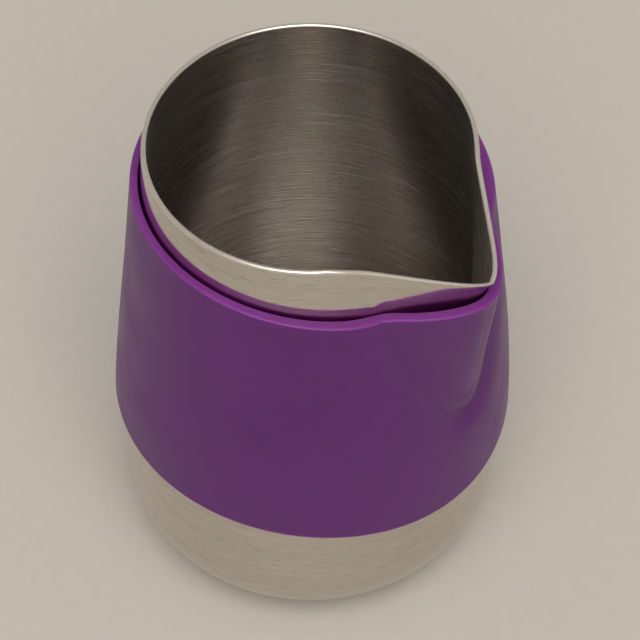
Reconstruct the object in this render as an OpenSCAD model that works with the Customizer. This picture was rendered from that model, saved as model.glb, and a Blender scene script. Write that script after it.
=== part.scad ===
// Handleless milk frothing jug: one drawn steel body with a pressed
// pouring spout, and a soft grip sleeve that is stretched over it.
// Millimetres. Z is up and the jug stands on Z = 0.
// The origin is the centre of the flat underside. The spout points along +X.

/* [Jug body] */
// Height of the rim above the table, away from the spout.
jug_h = 112; // [80:1:160]
// Outside radius of the round mouth.
mouth_r = 33.4; // [25:0.1:50]
// Outside radius of the belly, the widest part of the steel.
belly_r = 39.8; // [30:0.1:60]
// Radius of the big rounded corner between the wall and the bottom.
corner_r = 17; // [8:0.5:22]
// Thickness of the steel.
wall = 1.1; // [0.6:0.1:2]

/* [Spout] */
// How far the sharp fold of the spout would stand out from the round wall.
spout_fold = 13.8; // [8:0.1:20]
// Extra outward flare of the very tip of the spout.
tip_flare = 3.6; // [0:0.1:6]
// Half of the spout's width where it leaves the round wall at the rim.
spout_half_w = 20; // [12:0.5:24]
// Share of the jug's height that the spout's fold runs down from the rim.
spout_share = 0.464; // [0.3:0.001:0.6]
// How far the rim dips at the tip of the spout.
spout_dip = 9.5; // [0:0.1:14]
// Rounding of the spout's nose, as an angle seen from the jug's axis.
nose_deg = 5.8; // [3:0.1:10]

/* [Grip sleeve] */
// Height of the sleeve's lower edge at the back of the jug.
sleeve_low_z = 39.2; // [26:0.1:50]
// Distance from the back of the rim down to the sleeve's upper edge.
sleeve_drop = 9.4; // [4:0.1:30]
// How far the sleeve's upper edge dips towards the spout.
sleeve_dip_top = 5.7; // [0:0.1:12]
// How far the sleeve's lower edge dips towards the spout.
sleeve_dip_low = 4.7; // [0:0.1:10]
// Thickness of the sleeve at the back.
sleeve_t = 2.0; // [1.2:0.1:4]
// How much thicker the sleeve's lip is on the spout's side.
sleeve_t_front = 0.9; // [0:0.1:1.2]
// How much thinner the sleeve's lip is than its lower edge, at the back.
lip_taper = 0.4; // [0:0.1:0.6]
// Gap between the sleeve and the steel at the sleeve's lower edge.
sleeve_gap = 0.35; // [0.2:0.05:1]
// Gap between the sleeve and the steel at the sleeve's upper edge.
sleeve_gap_top = 0.4; // [0.3:0.05:2]
// How far the sleeve bows out below the spout, half way up.
sleeve_bow = 1.35; // [0:0.1:4]
// Gap between the sleeve's pocket and the spout.
pocket_gap = 0.35; // [0.2:0.05:1]
// How far the pocket's flanks swell off the spout.
pocket_swell = 0.75; // [0:0.05:1.5]
// Gap left where the stretched sleeve lies down along the pocket's edge.
hug_gap = 0.2; // [0.1:0.05:0.5]

/* [Hidden] */
fine_step = 3;
fine_n = 16;
coarse_n = 36;
fine_end = fine_step * fine_n;
PHI_FINE = [for (i = [-fine_n:fine_n]) i * fine_step];
PHI_COARSE = [for (i = [1:coarse_n - 1]) fine_end + i * (360 - 2 * fine_end) / coarse_n];
PHI = concat(PHI_FINE, PHI_COARSE);
COLS = len(PHI);
belly_z = corner_r + 3;
root_z = jug_h * (1 - spout_share);
join_z = root_z - 6;
fold_run = jug_h - spout_dip - root_z;
dip_deg = 47;
dip_power = 1.35;
flare_run = 9;
fold_power = 0.85;
wall_fullness = 0.7;
crease_soft = 0.3;
tiny = 0.02;
root_fade = 0.8;
nose_growth = 0.5;
nose_least = -1.5;
away_deg = 40;
away_fall = 0.02;
bow_start = 0.2;
clearance = 0.3;
pocket_drop = 1.6;
pocket_least = 0.1;
swell_share = 0.85;
swell_run = 30;
hug_width = 3;
rim_run = jug_h - root_z;
seam_inset = 0.2;
seam_fade = 3;
rim_round = 0.4;
lip_round = 0.5;
lip_fall = 2.8;
low_fall = 5.2;
BANDS = 5;
WALL_STEPS = 16;
SLEEVE_STEPS = 13;

// Angle from the spout's direction, 0 to 180.
function off(p) = min(abs(p), abs(p - 360));

// 1 at the spout, falling to 0 at the back of the jug.
function near_spout(p) = (1 + cos(p)) / 2;

// The larger of two radii, with a rounded changeover of width k.
function soft_max(a, b, k) = (a + b + sqrt((a - b) * (a - b) + k * k)) / 2;

// Share of the way from the belly up to the mouth, eased at both ends.
function ease(u) = u * u * (3 - 2 * u);
function belly_to_mouth(z) = ease(up_share(z));

// Outside radius of the round blank that the spout is pressed from.
function blank_r(z) = belly_r - (belly_r - mouth_r) * belly_to_mouth(z);

// Outside radius of the steel wall away from the spout: nearly a straight cone.
function up_share(z) = max(0, min(1, (z - belly_z) / (jug_h - belly_z)));
function fullness(z) = pow(up_share(z), 2) * (1 - up_share(z));
function steel_r(z) = blank_r(z) + (belly_r - mouth_r) * wall_fullness * fullness(z);

// Height of the rim around the jug: level, then dipping to the spout's tip.
function dip_share(p) = pow(max(0, 1 - off(p) / dip_deg), dip_power);
function rim_z(p) = jug_h - spout_dip * dip_share(p);

// The spout is two flat flanks that meet in a rounded nose. Its depth and its
// width both grow from nothing at root_z up to the rim, and its tip flares.
function rise(z) = max(tiny, z - root_z);
function flare(z, p) =
    tip_flare * pow(dip_share(p) * max(0, 1 - (rim_z(p) - z) / flare_run), 2);
function fold_x(z, p) =
    blank_r(z) + spout_fold * pow(rise(z) / fold_run, fold_power) + flare(z, p);
function flank_w(z) = spout_half_w * sqrt(rise(z) / rim_run);
function flank_x(z) = sqrt(pow(blank_r(z), 2) - pow(flank_w(z), 2));
function flank_a(z, p) = atan2(flank_w(z), fold_x(z, p) - flank_x(z));

// Distance of a flank's plane from the jug's axis, below the root fading away.
function flank_d(z, p) =
    fold_x(z, p) * sin(flank_a(z, p)) - max(0, root_z - z) * root_fade;

// The nose gets rounder as the surface moves out, so walls keep their thickness.
function nose(z, grow) =
    nose_deg * sqrt(rise(z) / fold_run) + max(nose_least, grow * nose_growth);

// Radius of a flank seen at an angle p from the spout, moved out by grow.
function turn(z, p, grow) = sqrt(off(p) * off(p) + pow(nose(z, grow), 2));
function away(p) = max(0, off(p) - away_deg);
function flank_r(z, p, grow) =
    (flank_d(z, p) + grow) / sin(min(90, flank_a(z, p) + turn(z, p, grow)))
    - away_fall * pow(away(p), 2);

// Outside and inside radius of the steel at height z and angle p.
function steel_out(z, p) = soft_max(steel_r(z), flank_r(z, p, 0), crease_soft);
function steel_in(z, p, t) = soft_max(steel_r(z) - t, flank_r(z, p, -t), crease_soft);

// Heights of the sleeve's two edges around the jug.
function sleeve_top_z(p) = jug_h - sleeve_drop - sleeve_dip_top * pow(near_spout(p), lip_fall);
function sleeve_bot_z(p) = sleeve_low_z - sleeve_dip_low * pow(near_spout(p), low_fall);

// The sleeve is a plain cone, bowed out on the spout's side.
cone_low_z = sleeve_low_z - sleeve_dip_low;
cone_top_z = jug_h - sleeve_drop;
cone_low_r = steel_r(cone_low_z) + sleeve_gap;
cone_top_r = steel_r(cone_top_z) + sleeve_gap_top;
function cone_share(z) = (z - cone_low_z) / (cone_top_z - cone_low_z);
function cone_r(z) = cone_low_r + (cone_top_r - cone_low_r) * cone_share(z);
function cone_part(z) = max(0, min(1, cone_share(z)));
function bow_share(z) = bow_start + (1 - bow_start) * cone_part(z);
function bow(z, p) = sleeve_bow * pow(near_spout(p), 2) * sin(180 * bow_share(z));
function clear_r(z) = max(cone_r(z), steel_r(z) + clearance);

// The edge of the pocket is a parabola. How far inside it a point lies, in mm.
pocket_z = root_z - pocket_drop;
crease_k = spout_half_w * spout_half_w / rim_run;
function side(z, p) = clear_r(z) * sin(min(90, off(p)));
function inside_pocket(z, p) =
    (crease_k * (z - pocket_z) - pow(side(z, p), 2))
    / sqrt(crease_k * crease_k + 4 * pow(side(z, p), 2));

// The pocket's flanks swell a little between its edge and the nose.
function edge_w(z) = sqrt(crease_k * max(pocket_least, z - pocket_z));
function swell_end(z) = swell_share * asin(min(1, edge_w(z) / clear_r(z)));
function swell_rise(z) = min(1, max(0, z - pocket_z) / swell_run);
function swell(z, p) =
    pocket_swell * sin(180 * min(1, off(p) / swell_end(z))) * swell_rise(z);

// Inside of the sleeve before the stretch, and outside with depth t added.
function loose_r(z, p, t) = soft_max(
    clear_r(z) + bow(z, p) + t,
    flank_r(z, p, pocket_gap + t) + swell(z, p),
    crease_soft
);

// Along the pocket's edge the stretched sleeve lies down on the steel.
function hug(z, p) = exp(-pow(inside_pocket(z, p) / hug_width, 2));
function pull(z, p) = hug(z, p) * max(0, loose_r(z, p, 0) - steel_out(z, p) - hug_gap);
function sleeve_in(z, p) = loose_r(z, p, 0) - pull(z, p);
function lip_change(p) = sleeve_t_front * pow(near_spout(p), 2) - lip_taper;
function thick(z, p) = sleeve_t + lip_change(p) * cone_part(z);
function sleeve_out(z, p) = loose_r(z, p, thick(z, p)) - pull(z, p);

// A point at radius r, angle p and height z.
function at(r, p, z) = [r * cos(p), r * sin(p), z];

// The pressed wall starts inside the lower body's wall, a hair thinner than it.
wall_low_z = join_z - 1;
function seam(z) = seam_inset * max(0, 1 - max(0, z - join_z) / seam_fade);

// One upright slice through the pressed wall: up the outside, over the
// rounded rim, and down the inside.
function wall_z(p, i) = wall_low_z + (rim_z(p) - rim_round - wall_low_z) * i / WALL_STEPS;
function wall_out(z, p) = steel_out(z, p) - seam(z);
function wall_in(z, p) = steel_in(z, p, wall) + seam(z);
function wall_slice(p) = concat(
    [for (i = [0:WALL_STEPS]) at(wall_out(wall_z(p, i), p), p, wall_z(p, i))],
    [at(steel_out(rim_z(p), p) - rim_round, p, rim_z(p))],
    [at(steel_in(rim_z(p), p, wall) + rim_round * 0.6, p, rim_z(p))],
    [for (i = [WALL_STEPS:-1:0]) at(wall_in(wall_z(p, i), p), p, wall_z(p, i))]
);

// One upright slice through the sleeve.
function edge_z(p, i) = sleeve_bot_z(p)
    + (sleeve_top_z(p) - lip_round - sleeve_bot_z(p)) * i / SLEEVE_STEPS;
function sleeve_slice(p) = concat(
    [for (i = [0:SLEEVE_STEPS]) at(sleeve_out(edge_z(p, i), p), p, edge_z(p, i))],
    [at(sleeve_out(sleeve_top_z(p), p) - lip_round, p, sleeve_top_z(p))],
    [at(sleeve_in(sleeve_top_z(p), p), p, sleeve_top_z(p))],
    [for (i = [SLEEVE_STEPS:-1:0]) at(sleeve_in(edge_z(p, i), p), p, edge_z(p, i))]
);

// Closes a ring of equal slices into one solid.
function ring_faces(rows) = [
    for (c = [0:COLS - 1])
        for (r = [0:rows - 1])
            for (t = [0, 1])
                let (
                    d = (c + 1) % COLS,
                    s = (r + 1) % rows,
                    a = c * rows + r,
                    b = d * rows + r,
                    e = d * rows + s,
                    f = c * rows + s
                )
                t == 0 ? [a, f, e] : [a, e, b]
];

module ring(slices) {
    rows = len(slices[0]);
    points = [for (s = slices) each s];
    polyhedron(points = points, faces = ring_faces(rows), convexity = 6);
}

// Half outline of the lower body, drawn in by inset. It stands over join_z.
module lower_outline(inset) {
    foot_x = belly_r - corner_r;
    bands = [for (i = [0:BANDS]) corner_r + (join_z - corner_r) * i / BANDS];
    polygon(concat(
        [[0, inset], [foot_x, inset]],
        [for (z = bands) [steel_r(z) - inset, z]],
        [[steel_r(join_z) - inset, join_z + 1], [0, join_z + 1]]
    ));
    intersection() {
        translate([foot_x, corner_r])
            circle(r = corner_r - inset, $fn = 96);
        translate([foot_x, 0])
            square([corner_r, corner_r]);
    }
}

// The steel jug: a drawn lower body and the pressed wall with its spout.
module jug_body() {
    color([0.72, 0.70, 0.67]) {
        union() {
            rotate_extrude($fn = 96)
                difference() {
                    lower_outline(0);
                    lower_outline(wall);
                    translate([-1, join_z])
                        square([belly_r + 2, 5]);
                }
            ring([for (p = PHI) wall_slice(p)]);
        }
    }
}

// The soft grip sleeve, with a pocket that follows the spout.
module grip_sleeve() {
    color([0.36, 0.18, 0.42])
        ring([for (p = PHI) sleeve_slice(p)]);
}

jug_body();
grip_sleeve();
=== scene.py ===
# %% [markdown]
# # A handleless milk jug with a soft grip sleeve
# A barista's milk jug is one thin cup of stainless steel. A press pushes a
# pouring spout into its wall, and a soft silicone sleeve is stretched over the
# cup so that a hand can hold it hot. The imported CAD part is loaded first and
# stays as it is. The two pieces made here stand in its place, so every size is
# read from it or is a plain length in millimetres.

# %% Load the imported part
import math

import bpy
from mathutils import Matrix, Vector


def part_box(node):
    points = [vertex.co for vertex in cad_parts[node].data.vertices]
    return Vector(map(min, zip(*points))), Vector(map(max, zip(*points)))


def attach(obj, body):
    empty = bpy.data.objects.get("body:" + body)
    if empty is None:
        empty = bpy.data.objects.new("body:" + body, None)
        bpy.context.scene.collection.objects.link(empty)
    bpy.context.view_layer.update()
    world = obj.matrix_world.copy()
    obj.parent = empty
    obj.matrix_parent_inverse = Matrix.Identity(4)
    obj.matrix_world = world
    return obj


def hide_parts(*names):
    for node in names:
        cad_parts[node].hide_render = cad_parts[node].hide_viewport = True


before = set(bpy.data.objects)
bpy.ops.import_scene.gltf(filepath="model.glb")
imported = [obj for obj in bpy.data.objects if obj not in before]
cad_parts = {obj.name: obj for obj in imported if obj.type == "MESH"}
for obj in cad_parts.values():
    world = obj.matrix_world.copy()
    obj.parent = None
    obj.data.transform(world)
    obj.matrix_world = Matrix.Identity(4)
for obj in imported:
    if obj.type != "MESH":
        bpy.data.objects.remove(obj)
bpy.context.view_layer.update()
MM = 0.001

# %% Read the driving sizes from the part
jug_low, jug_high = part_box("jug_body")
sleeve_low, sleeve_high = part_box("grip_sleeve")
JUG_H = jug_high[2]
BELLY_R = -jug_low[0]
MOUTH_R = 0.839 * BELLY_R
CORNER_R = 0.427 * BELLY_R
WALL = 1.1 * MM
print(f"jug {JUG_H / MM:.1f} mm high, belly {2 * BELLY_R / MM:.1f} mm across")

# %% [markdown]
# ## The camera
# The jug is seen from above, from the side of its spout. The camera stands
# about seven jug heights away with a long lens, which keeps the upright lines
# nearly parallel. It is built from three turns: round the jug, down, and level.

# %% Place the camera
CAMERA_TURN = math.radians(38)
CAMERA_PAN = math.radians(-0.2566)
CAMERA_DOWN = math.radians(50.721)
CAMERA_LEVEL = math.radians(0.1632)
CAMERA_BACK = 4.08742 * JUG_H
CAMERA_UP = 5.50706 * JUG_H

camera_data = bpy.data.cameras.new("camera")
camera_data.lens = 194.27
camera_data.sensor_width = 36
camera_data.clip_start = 0.01
camera = bpy.data.objects.new("camera", camera_data)
bpy.context.scene.collection.objects.link(camera)
camera_place = (
    CAMERA_BACK * math.sin(CAMERA_TURN),
    -CAMERA_BACK * math.cos(CAMERA_TURN),
    CAMERA_UP,
)
camera.matrix_world = (
    Matrix.Translation(camera_place)
    @ Matrix.Rotation(CAMERA_TURN + CAMERA_PAN, 4, "Z")
    @ Matrix.Rotation(math.pi / 2 - CAMERA_DOWN, 4, "X")
    @ Matrix.Rotation(CAMERA_LEVEL, 4, "Z")
)
bpy.context.scene.camera = camera
print("camera at", [round(value, 3) for value in camera_place])


# %% [markdown]
# ## Helpers for modelling
# An outline is drawn as a chain of points, one extrude after another, and is
# then spun round the jug's axis, as clay is on a wheel. The same two helpers
# make the cup and the sleeve, because both start as turned shapes.

# %% Draw an outline and spin it
COLUMNS = 480


def draw_outline(name, points):
    """A chain of edges through the points, each a radius and a height."""
    bpy.ops.object.select_all(action="DESELECT")
    bpy.ops.mesh.primitive_plane_add(size=WALL, location=(0, 0, 0))
    piece = bpy.context.object
    piece.name = name
    bpy.ops.object.mode_set(mode="EDIT")
    bpy.ops.mesh.select_all(action="SELECT")
    bpy.ops.mesh.merge(type="CENTER")
    radius, height = points[0]
    bpy.ops.transform.translate(value=(radius, 0, height))
    for (old_radius, old_height), (radius, height) in zip(points, points[1:]):
        step = (radius - old_radius, 0, height - old_height)
        bpy.ops.mesh.extrude_vertices_move(TRANSFORM_OT_translate={"value": step})
    bpy.ops.object.mode_set(mode="OBJECT")
    return piece


def spin_outline(piece, closed):
    """Turns the outline once round the axis, then closes its seam and poles."""
    bpy.ops.object.mode_set(mode="EDIT")
    bpy.ops.mesh.select_all(action="SELECT")
    if closed:
        bpy.ops.mesh.remove_doubles(threshold=1e-7)
    bpy.ops.mesh.spin(steps=COLUMNS, angle=2 * math.pi, center=(0, 0, 0), axis=(0, 0, 1))
    bpy.ops.mesh.select_all(action="SELECT")
    bpy.ops.mesh.remove_doubles(threshold=1e-6)
    bpy.ops.mesh.normals_make_consistent(inside=False)
    bpy.ops.object.mode_set(mode="OBJECT")
    bpy.ops.object.shade_smooth()


def arc(center, radius, start, end, steps):
    """Points on an arc in the outline's plane, angles in degrees."""
    angles = [math.radians(start + (end - start) * i / steps) for i in range(steps + 1)]
    return [(center[0] + radius * math.cos(a), center[1] + radius * math.sin(a)) for a in angles]


# %% [markdown]
# ## The steel cup
# The real cup is drawn from a flat disc: its bottom is flat, its corner is a
# big even curve, and its wall closes in towards the mouth and runs almost
# straight for the last few centimetres. Outside and inside are drawn as one
# closed outline with a rounded rim, so the wall has a true thickness.

# %% Outline of the cup
FOOT_R = BELLY_R - CORNER_R
BELLY_Z = CORNER_R + 3 * MM
CORNER_STEPS = 14
WALL_STEPS = 64
WALL_FULLNESS = 0.7
RIM_STEPS = 8
FLOOR_STEPS = 6


def clamp(share):
    """A share kept between 0 and 1."""
    return min(1, max(0, share))


def blank_r(z):
    """Outside radius of the round blank that the spout is pressed from."""
    share = clamp((z - BELLY_Z) / (JUG_H - BELLY_Z))
    return BELLY_R - (BELLY_R - MOUTH_R) * share * share * (3 - 2 * share)


def wall_r(z):
    """Outside radius of the plain wall at height z, nearly a straight cone."""
    share = clamp((z - BELLY_Z) / (JUG_H - BELLY_Z))
    return blank_r(z) + (BELLY_R - MOUTH_R) * WALL_FULLNESS * share * share * (1 - share)


RIM_R = WALL / 2
rim_center = (wall_r(JUG_H) - RIM_R, JUG_H - RIM_R)
wall_run = JUG_H - RIM_R - CORNER_R
wall_heights = [CORNER_R + wall_run * i / WALL_STEPS for i in range(1, WALL_STEPS)]
outside = arc((FOOT_R, CORNER_R), CORNER_R, -90, 0, CORNER_STEPS)
inside = arc((FOOT_R, CORNER_R), CORNER_R - WALL, 0, -90, CORNER_STEPS)
floor_steps = [FOOT_R * i / FLOOR_STEPS for i in range(1, FLOOR_STEPS)]
cup_outline = (
    [(0, 0)]
    + [(r, 0) for r in floor_steps]
    + outside
    + [(wall_r(z), z) for z in wall_heights]
    + arc(rim_center, RIM_R, 0, 180, RIM_STEPS)
    + [(wall_r(z) - WALL, z) for z in reversed(wall_heights)]
    + inside
    + [(r, WALL) for r in reversed(floor_steps)]
    + [(0, WALL)]
)
cup = draw_outline("steel_cup", cup_outline)
spin_outline(cup, closed=False)
print("turned cup:", len(cup.data.polygons), "faces")

# %% [markdown]
# ## Pressing the spout
# A spout like this is two flat flanks that meet in a narrow rounded nose. It
# starts as nothing at mid height and grows towards the rim, which dips to its
# tip. No operator gives two flats with an even wall behind them, so each point
# of the turned cup is moved by one rule: it goes to its place on the flank when
# that lies further out than the plain wall.

# %% The rule for the flanks
SPOUT_FOLD = 13.8 * MM
SPOUT_HALF_W = 20 * MM
SPOUT_DIP = 9.5 * MM
TIP_FLARE = 3.6 * MM
FLARE_RUN = 9 * MM
NOSE_DEG = 5.8
FOLD_POWER = 0.85
TINY = 0.02 * MM
ROOT_FADE = 0.8
NOSE_GROWTH = 0.5
NOSE_LEAST = -1.5
AWAY_DEG = 40
AWAY_FALL = 0.02 * MM
DIP_DEG = 47
DIP_POWER = 1.35
ROOT_Z = 0.536 * JUG_H
PRESS_Z = ROOT_Z - 6 * MM
FOLD_RUN = JUG_H - SPOUT_DIP - ROOT_Z
SOFT = 0.3 * MM


def off_spout(x, y):
    """Angle from the spout's direction in degrees, 0 to 180."""
    return abs(math.degrees(math.atan2(y, x)))


def soft_max(a, b, width):
    """The larger of two lengths, with a rounded changeover."""
    return (a + b + math.sqrt((a - b) ** 2 + width * width)) / 2


def dip_share(off):
    """1 at the spout's tip, falling to 0 where the rim is level again."""
    return max(0, 1 - off / DIP_DEG) ** DIP_POWER


def rim_z(off):
    """Height of the rim, which dips to the spout's tip."""
    return JUG_H - SPOUT_DIP * dip_share(off)


def flank_r(z, off, grow):
    """Radius of a flank at a height and an angle, moved out by grow."""
    rise = max(TINY, z - ROOT_Z)
    near_tip = dip_share(off) * max(0, 1 - (rim_z(off) - z) / FLARE_RUN)
    fold = SPOUT_FOLD * (rise / FOLD_RUN) ** FOLD_POWER
    fold_x = blank_r(z) + fold + TIP_FLARE * near_tip**2
    half_w = SPOUT_HALF_W * math.sqrt(rise / (JUG_H - ROOT_Z))
    lean = math.atan2(half_w, fold_x - math.sqrt(blank_r(z) ** 2 - half_w**2))
    distance = fold_x * math.sin(lean) - max(0, ROOT_Z - z) * ROOT_FADE
    nose = NOSE_DEG * math.sqrt(rise / FOLD_RUN) + max(NOSE_LEAST, grow / MM * NOSE_GROWTH)
    turn = min(90, math.degrees(lean) + math.hypot(off, nose))
    fade = AWAY_FALL * max(0, off - AWAY_DEG) ** 2
    return (distance + grow) / math.sin(math.radians(turn)) - fade


# %% Press the spout into the cup
for vertex in cup.data.vertices:
    x, y, z = vertex.co
    if z <= PRESS_Z:
        continue
    radius = math.hypot(x, y)
    depth = radius - wall_r(z)
    off = off_spout(x, y)
    pressed_z = PRESS_Z + (z - PRESS_Z) * (rim_z(off) - PRESS_Z) / (JUG_H - PRESS_Z)
    pressed_r = soft_max(wall_r(pressed_z) + depth, flank_r(pressed_z, off, depth), SOFT)
    vertex.co = (x / radius * pressed_r, y / radius * pressed_r, pressed_z)
cup.data.update()
print("spout reaches", round(max(v.co.x for v in cup.data.vertices) / MM, 2), "mm from the axis")

# %% [markdown]
# ## The grip sleeve
# The sleeve is moulded in silicone as an open tube, about two millimetres
# thick. It is a plain cone that lies close to the steel. A pocket in it follows
# the spout. Its two edges sink towards the spout, and their corners are slightly
# rounded by the mould.

# %% Outline of the sleeve
SLEEVE_T = 2.0 * MM
SLEEVE_LOW_Z = 39.2 * MM
SLEEVE_TOP_Z = sleeve_high[2]
SLEEVE_DIP_TOP = 5.7 * MM
SLEEVE_DIP_LOW = SLEEVE_LOW_Z - sleeve_low[2]
LIP_ROUND = 0.45 * MM
EDGE_ROUND = 0.3 * MM
EDGE_BAND = 1.5 * MM
SLEEVE_STEPS = 56
blank_h = SLEEVE_TOP_Z - SLEEVE_LOW_Z
inner_r = BELLY_R
outer_r = BELLY_R + SLEEVE_T

edge_steps = [EDGE_BAND * i / 3 for i in (1, 2, 3)]
middle = [EDGE_BAND + (blank_h - 2 * EDGE_BAND) * i / SLEEVE_STEPS for i in range(1, SLEEVE_STEPS)]
heights = edge_steps + middle + [blank_h - z for z in reversed(edge_steps)]
corner_low_in = arc((inner_r + EDGE_ROUND, EDGE_ROUND), EDGE_ROUND, 180, 270, 3)
corner_low_out = arc((outer_r - LIP_ROUND, LIP_ROUND), LIP_ROUND, -90, 0, 5)
corner_top_out = arc((outer_r - LIP_ROUND, blank_h - LIP_ROUND), LIP_ROUND, 0, 90, 5)
corner_top_in = arc((inner_r + EDGE_ROUND, blank_h - EDGE_ROUND), EDGE_ROUND, 90, 180, 3)
face_in = [inner_r + SLEEVE_T / 2]
sleeve_outline = (
    corner_low_in
    + [(r, 0) for r in face_in]
    + corner_low_out
    + [(outer_r, z) for z in heights]
    + corner_top_out
    + [(r, blank_h) for r in face_in]
    + corner_top_in
    + [(inner_r, z) for z in reversed(heights)]
    + corner_low_in[:1]
)
sleeve = draw_outline("grip_sleeve_silicone", sleeve_outline)
spin_outline(sleeve, closed=True)
print("turned sleeve:", len(sleeve.data.polygons), "faces")

# %% The rule for the sleeve
SLEEVE_T_FRONT = 0.9 * MM
LIP_TAPER = 0.4 * MM
TOP_FALL = 2.8
LOW_FALL = 5.2
SLEEVE_GAP = 0.35 * MM
SLEEVE_GAP_TOP = 0.4 * MM
SLEEVE_BOW = 1.35 * MM
CLEARANCE = 0.3 * MM
POCKET_GAP = 0.35 * MM
POCKET_SWELL = 0.75 * MM
HUG_GAP = 0.2 * MM
HUG_W = 3 * MM
CREASE_DEPTH = 0.25 * MM
CREASE_W = 0.6 * MM
POCKET_DROP = 1.6 * MM
POCKET_LEAST = 0.1 * MM
SWELL_SHARE = 0.85
SWELL_RUN = 30 * MM
BOW_START = 0.2
POCKET_Z = ROOT_Z - POCKET_DROP
CREASE_K = SPOUT_HALF_W**2 / (JUG_H - ROOT_Z)
cone_low_z = sleeve_low[2]
cone_low_r = wall_r(cone_low_z) + SLEEVE_GAP
cone_top_r = wall_r(SLEEVE_TOP_Z) + SLEEVE_GAP_TOP


def near_spout(off):
    """1 at the spout, falling to 0 at the back."""
    return (1 + math.cos(math.radians(off))) / 2


def sleeve_plain_r(z, off, depth):
    """Radius of the sleeve's cone, depth out from its inside."""
    share = (z - cone_low_z) / (SLEEVE_TOP_Z - cone_low_z)
    cone = cone_low_r + (cone_top_r - cone_low_r) * share
    bow_share = BOW_START + (1 - BOW_START) * clamp(share)
    bow = SLEEVE_BOW * near_spout(off) ** 2 * math.sin(math.pi * bow_share)
    return max(cone, wall_r(z) + CLEARANCE) + bow + depth


def inside_pocket(z, off):
    """How far a point lies inside the pocket's edge, which is a parabola."""
    side = sleeve_plain_r(z, off, 0) * math.sin(math.radians(min(90, off)))
    return (CREASE_K * (z - POCKET_Z) - side**2) / math.hypot(CREASE_K, 2 * side)


def pocket_swell(z, off):
    """The pocket's flanks swell a little between its edge and the nose."""
    edge_w = math.sqrt(CREASE_K * max(POCKET_LEAST, z - POCKET_Z))
    end = SWELL_SHARE * math.degrees(math.asin(min(1, edge_w / sleeve_plain_r(z, off, 0))))
    rise = clamp((z - POCKET_Z) / SWELL_RUN)
    return POCKET_SWELL * math.sin(math.pi * min(1, off / end)) * rise


def loose_r(z, off, depth):
    """Radius of the sleeve as moulded, before it is stretched."""
    pocket = flank_r(z, off, POCKET_GAP + depth) + pocket_swell(z, off)
    return soft_max(sleeve_plain_r(z, off, depth), pocket, SOFT)


def sleeve_r(z, off, depth):
    """Radius of the sleeve as worn: along the pocket's edge it lies on the steel."""
    inside = inside_pocket(z, off)
    steel_r = soft_max(wall_r(z), flank_r(z, off, 0), SOFT)
    slack = max(0, loose_r(z, off, 0) - steel_r - HUG_GAP)
    crease = CREASE_DEPTH * math.exp(-((inside / CREASE_W) ** 2)) * max(0, depth / SLEEVE_T)
    return loose_r(z, off, depth) - slack * math.exp(-((inside / HUG_W) ** 2)) - crease


def sleeve_edges(off):
    """Heights of the sleeve's lower and upper edge, which sink towards the spout."""
    lower = SLEEVE_LOW_Z - SLEEVE_DIP_LOW * near_spout(off) ** LOW_FALL
    upper = SLEEVE_TOP_Z - SLEEVE_DIP_TOP * near_spout(off) ** TOP_FALL
    return lower, upper


# %% Shape the sleeve
for vertex in sleeve.data.vertices:
    x, y, z = vertex.co
    radius = math.hypot(x, y)
    off = off_spout(x, y)
    low, top = sleeve_edges(off)
    stretch = (top - low - 2 * EDGE_BAND) / (blank_h - 2 * EDGE_BAND)
    if z < EDGE_BAND:
        shaped_z = low + z
    elif z > blank_h - EDGE_BAND:
        shaped_z = top - (blank_h - z)
    else:
        shaped_z = low + EDGE_BAND + (z - EDGE_BAND) * stretch
    up_share = clamp((shaped_z - cone_low_z) / (SLEEVE_TOP_Z - cone_low_z))
    lip_change = SLEEVE_T_FRONT * near_spout(off) ** 2 - LIP_TAPER
    thicker = 1 + lip_change / SLEEVE_T * up_share
    shaped_r = sleeve_r(shaped_z, off, (radius - inner_r) * thicker)
    vertex.co = (x / radius * shaped_r, y / radius * shaped_r, shaped_z)
sleeve.data.update()
print("sleeve from", round(min(v.co.z for v in sleeve.data.vertices) / MM, 2), "mm up")

# %% [markdown]
# ## Helpers for materials
# A colour is written as the hex value that a picture shows and turned to the
# linear value that light adds up in. One small function adds a node, sets it
# and links what it is given.

# %% Colour and node helpers


def linear(hex_color):
    """An sRGB hex colour as linear red, green, blue and alpha."""
    values = [int(hex_color[i:i + 2], 16) / 255 for i in (1, 3, 5)]
    return [v / 12.92 if v <= 0.04045 else ((v + 0.055) / 1.055) ** 2.4 for v in values] + [1]


def add(tree, kind, settings=None, **sockets):
    """Adds a node, gives it its settings, and sets or links its sockets."""
    node = tree.nodes.new("ShaderNode" + kind)
    for name, value in (settings or {}).items():
        setattr(node, name, value)
    for name, value in sockets.items():
        socket = node.inputs[int(name[1:])] if name[0] == "_" else node.inputs[name]
        if isinstance(value, bpy.types.NodeSocket):
            tree.links.new(value, socket)
        else:
            socket.default_value = value
    return node


def new_material(name):
    """An empty material with its output and its Principled shader."""
    material = bpy.data.materials.new(name)
    material.use_nodes = True
    tree = material.node_tree
    tree.nodes.clear()
    output = add(tree, "OutputMaterial")
    shader = add(tree, "BsdfPrincipled")
    tree.links.new(shader.outputs["BSDF"], output.inputs["Surface"])
    return material, tree, shader


def ramp(tree, factor, low, high, start, end):
    """Maps a factor from one range to another and clamps it."""
    sockets = {"Value": factor, "From Min": start, "From Max": end, "To Min": low, "To Max": high}
    node = add(tree, "MapRange", **sockets)
    return node.outputs["Result"]


def mix_colors(tree, factor, first, second):
    """Mixes from the first colour to the second."""
    node = add(tree, "Mix", {"data_type": "RGBA"}, _0=factor, _6=first, _7=second)
    return node.outputs[2]


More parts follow.
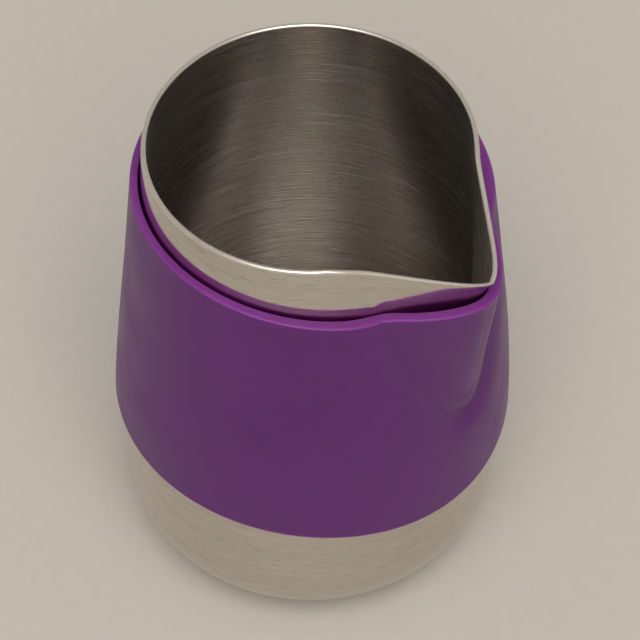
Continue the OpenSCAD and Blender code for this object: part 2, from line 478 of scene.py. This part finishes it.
# %% [markdown]
# ## Brushed stainless steel
# The cup is polished on a wheel while it turns, so its fine scratches run round
# it. In a material that means a noise that is squeezed along the height and
# along the radius, and stays nearly the same round the axis. The scratches
# stretch each highlight across themselves, which anisotropy gives. Use leaves
# a few stronger marks: short and dull outside. Inside, long scratch arcs are
# painted near white, a painted highlight where they catch the light.

# %% Turned scratches
FINE_SCALE = 1.0 / (0.22 * MM)
SHORT_SCALE = 1.0 / (4 * MM)
STREAK_SCALE = 1.0 / (0.5 * MM)
ROUND_SCALE = 1.0 / (25 * MM)
MARK_SCALE = 1.0 / (0.4 * MM)
SCRATCH_RELIEF = 0.01
RELIEF_DEPTH = 0.05 * MM
ROUGH_SPREAD = 0.15
QUARTER_TURN = 0.25


def turned_pattern(tree, streak, around, detail):
    """Noise in thin lines round the axis: fine along height plus radius."""
    place = add(tree, "TexCoord").outputs["Object"]
    parts = add(tree, "SeparateXYZ", Vector=place)
    flat = add(tree, "CombineXYZ", X=parts.outputs["X"], Y=parts.outputs["Y"], Z=0.0)
    radius = add(tree, "VectorMath", {"operation": "LENGTH"}, _0=flat.outputs["Vector"])
    height, out = parts.outputs["Z"], radius.outputs["Value"]
    along = add(tree, "Math", {"operation": "ADD"}, _0=height, _1=out)
    scaled = [
        add(tree, "Math", {"operation": "MULTIPLY"}, _0=value, _1=scale).outputs["Value"]
        for value, scale in (
            (parts.outputs["X"], around),
            (parts.outputs["Y"], around),
            (along.outputs["Value"], streak),
        )
    ]
    squeezed = add(tree, "CombineXYZ", X=scaled[0], Y=scaled[1], Z=scaled[2])
    noise = add(tree, "TexNoise", Vector=squeezed.outputs["Vector"], Scale=1.0, Detail=detail)
    return noise.outputs["Fac"]


def steel(name, light, dark, roughness, anisotropy, grain, wear_and_glint_color, mark_share, mark_length):
    """Stainless steel with scratches that run round the cup, and a few stronger marks: dull wear
    on the outside and rim, painted highlights on the inside.
    """
    material, tree, shader = new_material(name)
    fine = turned_pattern(tree, FINE_SCALE, SHORT_SCALE, 2)
    long = turned_pattern(tree, STREAK_SCALE, ROUND_SCALE, 3)
    both = add(tree, "Mix", {"data_type": "FLOAT"}, _0=grain, _2=long, _3=fine).outputs[0]
    streaks = ramp(tree, both, 0, 1, 0.35, 0.65)
    color = mix_colors(tree, streaks, linear(dark), linear(light))
    rare = turned_pattern(tree, MARK_SCALE, 1 / mark_length, 4)
    mark = ramp(tree, rare, 0, mark_share, 0.6, 0.7)
    # The mark colour is dull wear outside and on the rim, and a painted highlight inside.
    marked = mix_colors(tree, mark, color, linear(wear_and_glint_color))
    tree.links.new(marked, shader.inputs["Base Color"])
    duller, shinier = roughness * (1 + ROUGH_SPREAD), roughness * (1 - ROUGH_SPREAD)
    rough = ramp(tree, both, duller, shinier, 0.38, 0.62)
    tree.links.new(rough, shader.inputs["Roughness"])
    raised = add(tree, "Bump", Strength=SCRATCH_RELIEF, Distance=RELIEF_DEPTH, Height=both)
    tree.links.new(raised.outputs["Normal"], shader.inputs["Normal"])
    tangent = add(tree, "Tangent", {"direction_type": "RADIAL", "axis": "Z"})
    tree.links.new(tangent.outputs["Tangent"], shader.inputs["Tangent"])
    shader.inputs["Metallic"].default_value = 1
    shader.inputs["Anisotropic"].default_value = anisotropy
    shader.inputs["Anisotropic Rotation"].default_value = QUARTER_TURN
    return material


# Satin outside: close to a mirror, with short dull dents and rubs from use.
satin_steel = steel(
    "satin_stainless_outside", "#CFC8BF", "#BDB5AB",
    roughness=0.09, anisotropy=0.2, grain=0.6,
    wear_and_glint_color="#7A746D", mark_share=0.35, mark_length=3.5 * MM,
)
# Brushed inside: duller, with long arcs from stirring and wiping, painted white as painted
# highlights.
brushed_steel = steel(
    "brushed_stainless_inside", "#CAC2BA", "#BEB6AE",
    roughness=0.26, anisotropy=0.8, grain=0.2,
    wear_and_glint_color="#FFFFFF", mark_share=0.8, mark_length=26 * MM,
)
# Rim: rounded over and polished by hand; its palest colour is a painted highlight along the rim.
rim_highlight_steel = steel(
    "polished_stainless_rim_highlight", "#EADFCF", "#E0D5C5",
    roughness=0.3, anisotropy=0.0, grain=0.5,
    wear_and_glint_color="#8A847B", mark_share=0.2, mark_length=3 * MM,
)
print("steel finishes:", satin_steel.name, brushed_steel.name, rim_highlight_steel.name)

# %% Give the cup its three finishes
for finish in (satin_steel, brushed_steel, rim_highlight_steel):
    cup.data.materials.append(finish)


def finish_of(face):
    """0 outside, 1 inside, 2 rim: by how deep in the wall its middle lies."""
    x, y, z = face.center
    radius = math.hypot(x, y)
    off = off_spout(x, y)
    if z > rim_z(off) - RIM_R * 0.9:
        return 2
    if z > PRESS_Z:
        middle_r = soft_max(wall_r(z) - RIM_R, flank_r(z, off, -RIM_R), SOFT)
        return 0 if radius > middle_r else 1
    outward = face.normal.x * x + face.normal.y * y
    is_outer_wall = outward > 0 and z > WALL * 0.5
    is_underside = face.normal.z < -0.3
    return 0 if is_outer_wall or is_underside else 1


for face in cup.data.polygons:
    face.material_index = finish_of(face)
finishes = [face.material_index for face in cup.data.polygons]
print("faces per finish:", [finishes.count(i) for i in range(3)])

# %% [markdown]
# ## Moulded silicone
# Silicone is soft and slightly clouded, so light soaks a few millimetres into
# it. It takes the fine matt grain of its mould, so it shows no sharp
# reflection. Handling leaves it a little uneven, which a slow noise in its
# colour and roughness gives.

# %% Purple silicone
MATT_GRAIN = 1.0 / (0.5 * MM)
UNEVEN = 1.0 / (14 * MM)
SOAK_DEPTH = 5 * MM


def silicone(name, light, dark):
    """Matt clouded silicone that light soaks into."""
    material, tree, shader = new_material(name)
    place = add(tree, "TexCoord").outputs["Object"]
    grain = add(tree, "TexNoise", Vector=place, Scale=MATT_GRAIN, Detail=2.0)
    cloud = add(tree, "TexNoise", Vector=place, Scale=UNEVEN, Detail=3.0)
    mixed = ramp(tree, cloud.outputs["Fac"], 0, 1, 0.35, 0.65)
    color = mix_colors(tree, mixed, linear(dark), linear(light))
    tree.links.new(color, shader.inputs["Base Color"])
    rough = ramp(tree, cloud.outputs["Fac"], 0.36, 0.46, 0.35, 0.65)
    tree.links.new(rough, shader.inputs["Roughness"])
    raised = add(tree, "Bump", Strength=0.12, Distance=RELIEF_DEPTH, Height=grain.outputs["Fac"])
    tree.links.new(raised.outputs["Normal"], shader.inputs["Normal"])
    shader.inputs["IOR"].default_value = 1.38
    shader.inputs["Subsurface Weight"].default_value = 0.7
    shader.inputs["Subsurface Radius"].default_value = (1.0, 0.3, 1.0)
    shader.inputs["Subsurface Scale"].default_value = SOAK_DEPTH
    return material


purple_silicone = silicone("moulded_purple_silicone", "#5E216A", "#591F65")
# A lighter copy of the same silicone: painted glow of light through thin edges.
painted_glow_silicone = silicone("painted_glow_purple_silicone", "#7C3485", "#76307E")
for finish in (purple_silicone, painted_glow_silicone):
    sleeve.data.materials.append(finish)

# Painted light: the lip, the lower edge and the inner wall get a lighter copy of the silicone, a
# painted glow where light shines through thin silicone and into the gap by the steel.
for face in sleeve.data.polygons:
    x, y, z = face.center
    off = off_spout(x, y)
    middle_r = sleeve_r(z, off, SLEEVE_T / 2)
    low, top = sleeve_edges(off)
    is_edge = z > top - LIP_ROUND * 0.8 or z < low + LIP_ROUND * 0.6
    is_inner_wall = math.hypot(x, y) < middle_r
    face.material_index = 1 if is_edge or is_inner_wall else 0

# %% Give the CAD nodes the same looks
for node_name, look in (("jug_body", satin_steel), ("grip_sleeve", purple_silicone)):
    node_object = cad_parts[node_name]
    for slot in node_object.material_slots:
        slot.material = look
    print(node_name, "looks like", look.name)

# %% [markdown]
# ## Floor and light
# The jug stands on a plain pale table. One large soft light hangs over it and
# a weak even glow fills the room, so the shadow is soft and close to the foot.

# %% Floor
TABLE_W = 6
LAMINATE_SPECK = 1.0 / (3 * MM)
bpy.ops.object.select_all(action="DESELECT")
bpy.ops.mesh.primitive_plane_add(size=TABLE_W, location=(0, 0, 0))
table_top = bpy.context.object
table_top.name = "table_top"
table_look, table_tree, table_shader = new_material("pale_laminate")
place = add(table_tree, "TexCoord").outputs["Object"]
speck = add(table_tree, "TexNoise", Vector=place, Scale=LAMINATE_SPECK, Detail=4.0)
speck_share = ramp(table_tree, speck.outputs["Fac"], 0, 1, 0.3, 0.7)
table_color = mix_colors(table_tree, speck_share, linear("#C9C0B4"), linear("#CCC3B7"))
table_tree.links.new(table_color, table_shader.inputs["Base Color"])
table_shader.inputs["Roughness"].default_value = 0.6
table_top.data.materials.append(table_look)
print("table", TABLE_W, "m wide")

# %% Light


def facing(place, target):
    """Turns that point an object's -Z from a place to a target."""
    direction = Vector(target) - Vector(place)
    return direction.to_track_quat("-Z", "Y").to_euler()


def area_light(name, place, target, size, power, color):
    """A square soft light at a place, facing a target."""
    data = bpy.data.lights.new(name, "AREA")
    data.shape = "SQUARE"
    data.size = size
    data.energy = power
    data.color = linear(color)[:3]
    light = bpy.data.objects.new(name, data)
    light.location = place
    light.rotation_euler = facing(place, target)
    bpy.context.scene.collection.objects.link(light)
    return light


KEY_TURN = math.radians(-50)
KEY_UP = math.radians(55)
KEY_AWAY = 3.0
KEY_W = 2.4
KEY_POWER = 64
ROOM_GLOW = 0.45
key_place = (
    KEY_AWAY * math.cos(KEY_UP) * math.cos(KEY_TURN),
    KEY_AWAY * math.cos(KEY_UP) * math.sin(KEY_TURN),
    KEY_AWAY * math.sin(KEY_UP),
)
area_light("window", key_place, (0, 0, 0), KEY_W, KEY_POWER, "#FFFFFF")
room = bpy.data.worlds.new("room")
room.use_nodes = True
room.node_tree.nodes["Background"].inputs["Color"].default_value = linear("#FFFFFF")
room.node_tree.nodes["Background"].inputs["Strength"].default_value = ROOM_GLOW
bpy.context.scene.world = room
bpy.context.scene.view_settings.view_transform = "Standard"
print("light at", [round(value, 2) for value in key_place])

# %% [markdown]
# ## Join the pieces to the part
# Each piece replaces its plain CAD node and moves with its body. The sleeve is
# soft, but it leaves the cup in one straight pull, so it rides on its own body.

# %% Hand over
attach(cup, "jug")
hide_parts("jug_body")
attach(sleeve, "sleeve")
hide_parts("grip_sleeve")
